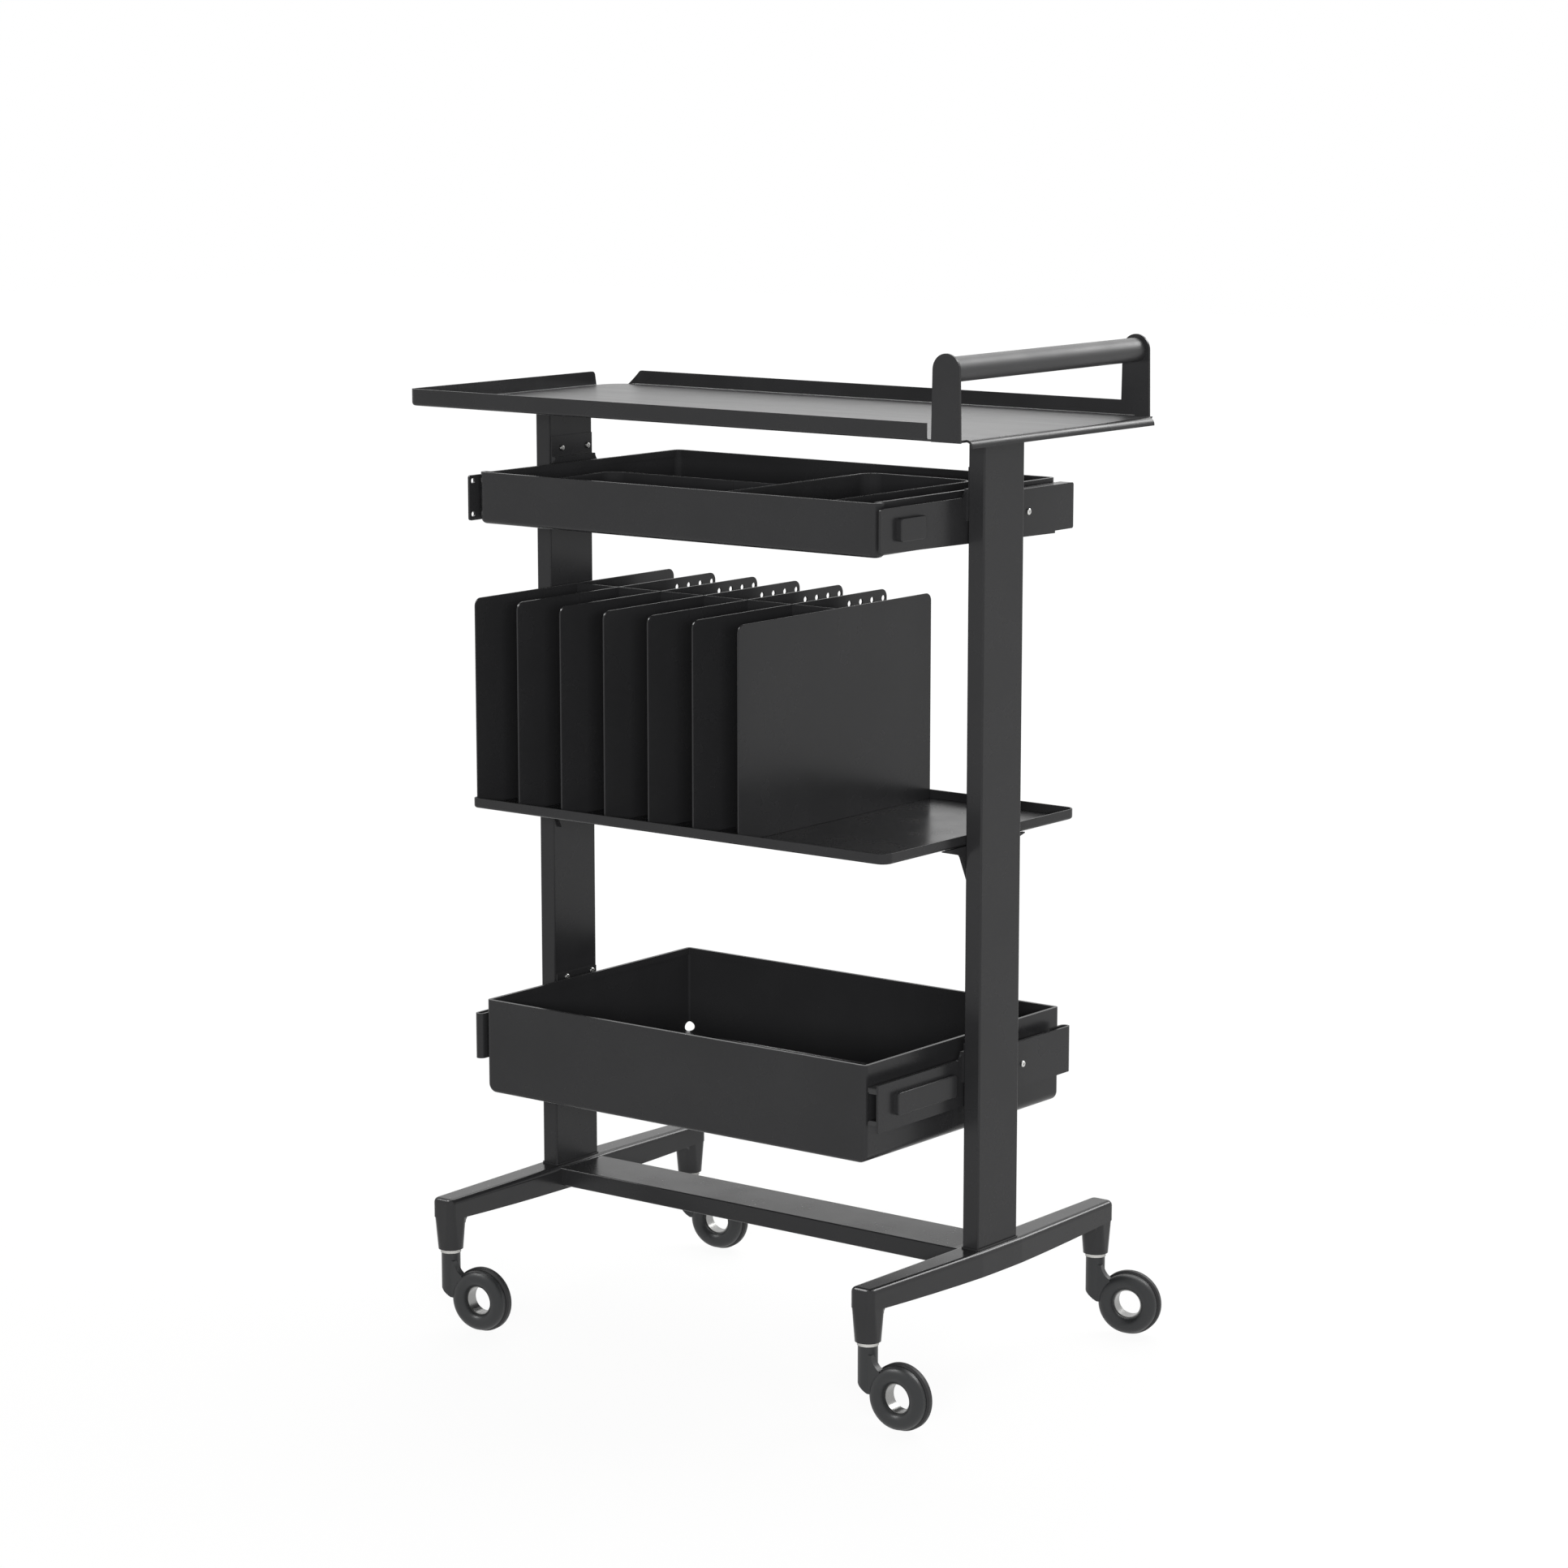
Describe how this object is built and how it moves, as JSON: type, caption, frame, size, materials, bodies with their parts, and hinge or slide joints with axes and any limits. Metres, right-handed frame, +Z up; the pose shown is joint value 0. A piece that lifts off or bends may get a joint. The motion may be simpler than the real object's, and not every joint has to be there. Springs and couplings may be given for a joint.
{
  "type": "salon trolley",
  "caption": "Rolling salon trolley with a handled top tray, shallow divided drawer, file rack on a shelf, deep drawer and swivel casters on arched feet.",
  "frame": {"origin": "on the floor, midway between the two posts", "axes": "+X along the trolley towards the handle end, +Y from the front to the back, +Z up"},
  "size_m": [0.5825, 0.367, 0.8725],
  "materials": {
    "black_powder_coat": "satin black powder coat on sheet steel",
    "cast_foot": "satin black powder coat on a casting",
    "handle_coat": "satin black powder coat on round tube",
    "slide_steel": "black coated slide steel",
    "runner_plastic": "black acetal runners",
    "pale_plastic": "pale bearing plastic",
    "bright_steel": "bright zinc plated screws",
    "sleeve_steel": "bright turned sleeve",
    "caster_nylon": "black moulded nylon",
    "wheel_plastic": "black moulded wheel core",
    "tyre_rubber": "black soft tyre"
  },
  "bodies": {
    "frame": {"bracket_screws": "bright_steel", "caster_washers": "pale_plastic", "cross_beam": "black_powder_coat", "handle_tube": "handle_coat", "housing_screws": "bright_steel", "left_foot": "cast_foot", "left_post": "black_powder_coat", "left_post_cap": "black_powder_coat", "left_shelf_bracket": "black_powder_coat", "lower_left_channel": "slide_steel", "lower_left_housing": "black_powder_coat", "lower_right_channel": "slide_steel", "lower_right_housing": "black_powder_coat", "middle_shelf": "black_powder_coat", "rack_divider_1": "black_powder_coat", "rack_divider_2": "black_powder_coat", "rack_divider_3": "black_powder_coat", "rack_divider_4": "black_powder_coat", "rack_divider_5": "black_powder_coat", "rack_left_end": "black_powder_coat", "rack_right_end": "black_powder_coat", "rack_spine": "black_powder_coat", "right_foot": "cast_foot", "right_post": "black_powder_coat", "right_post_cap": "black_powder_coat", "right_shelf_bracket": "black_powder_coat", "slide_runners": "runner_plastic", "slide_screws": "bright_steel", "top_tray": "black_powder_coat", "upper_left_channel": "slide_steel", "upper_left_housing": "black_powder_coat", "upper_right_channel": "slide_steel", "upper_right_housing": "black_powder_coat"},
    "upper_drawer": {"upper_drawer_shell": "black_powder_coat", "upper_left_bin": "black_powder_coat", "upper_left_rail": "slide_steel", "upper_right_bin": "black_powder_coat", "upper_right_rail": "slide_steel"},
    "lower_drawer": {"lower_drawer_shell": "black_powder_coat", "lower_left_rail": "slide_steel", "lower_right_rail": "slide_steel"},
    "swivel_front_left": {"caster_front_left_body": "caster_nylon", "caster_front_left_clip": "sleeve_steel"},
    "roller_front_left": {"wheel_front_left_rim": "wheel_plastic", "wheel_front_left_tyre": "tyre_rubber"},
    "swivel_front_right": {"caster_front_right_body": "caster_nylon", "caster_front_right_clip": "sleeve_steel"},
    "roller_front_right": {"wheel_front_right_rim": "wheel_plastic", "wheel_front_right_tyre": "tyre_rubber"},
    "swivel_back_left": {"caster_back_left_body": "caster_nylon", "caster_back_left_clip": "sleeve_steel"},
    "roller_back_left": {"wheel_back_left_rim": "wheel_plastic", "wheel_back_left_tyre": "tyre_rubber"},
    "swivel_back_right": {"caster_back_right_body": "caster_nylon", "caster_back_right_clip": "sleeve_steel"},
    "roller_back_right": {"wheel_back_right_rim": "wheel_plastic", "wheel_back_right_tyre": "tyre_rubber"}
  },
  "joints": [
    {"name": "upper_drawer_slide", "type": "slide", "parent": "frame", "child": "upper_drawer", "axis": [0, -1, 0], "range_m": [0, 0.16]},
    {"name": "lower_drawer_slide", "type": "slide", "parent": "frame", "child": "lower_drawer", "axis": [0, -1, 0], "range_m": [0, 0.16]},
    {"name": "swivel_front_left_turn", "type": "hinge", "parent": "frame", "child": "swivel_front_left", "pos_m": [-0.2275, -0.167, 0.0695], "axis": [0, 0, 1], "continuous": true},
    {"name": "roller_front_left_spin", "type": "hinge", "parent": "swivel_front_left", "child": "roller_front_left", "pos_m": [-0.19673, -0.16322, 0.0283], "axis": [-0.1219, 0.9925, 0], "continuous": true},
    {"name": "swivel_front_right_turn", "type": "hinge", "parent": "frame", "child": "swivel_front_right", "pos_m": [0.2275, -0.167, 0.0695], "axis": [0, 0, 1], "continuous": true},
    {"name": "roller_front_right_spin", "type": "hinge", "parent": "swivel_front_right", "child": "roller_front_right", "pos_m": [0.25848, -0.16592, 0.0283], "axis": [-0.0349, 0.9994, 0], "continuous": true},
    {"name": "swivel_back_left_turn", "type": "hinge", "parent": "frame", "child": "swivel_back_left", "pos_m": [-0.2275, 0.167, 0.0695], "axis": [0, 0, 1], "continuous": true},
    {"name": "roller_back_left_spin", "type": "hinge", "parent": "swivel_back_left", "child": "roller_back_left", "pos_m": [-0.1968, 0.17131, 0.0283], "axis": [-0.1392, 0.9903, 0], "continuous": true},
    {"name": "swivel_back_right_turn", "type": "hinge", "parent": "frame", "child": "swivel_back_right", "pos_m": [0.2275, 0.167, 0.0695], "axis": [0, 0, 1], "continuous": true},
    {"name": "roller_back_right_spin", "type": "hinge", "parent": "swivel_back_right", "child": "roller_back_right", "pos_m": [0.25758, 0.1745, 0.0283], "axis": [-0.2419, 0.9703, 0], "continuous": true}
  ]
}
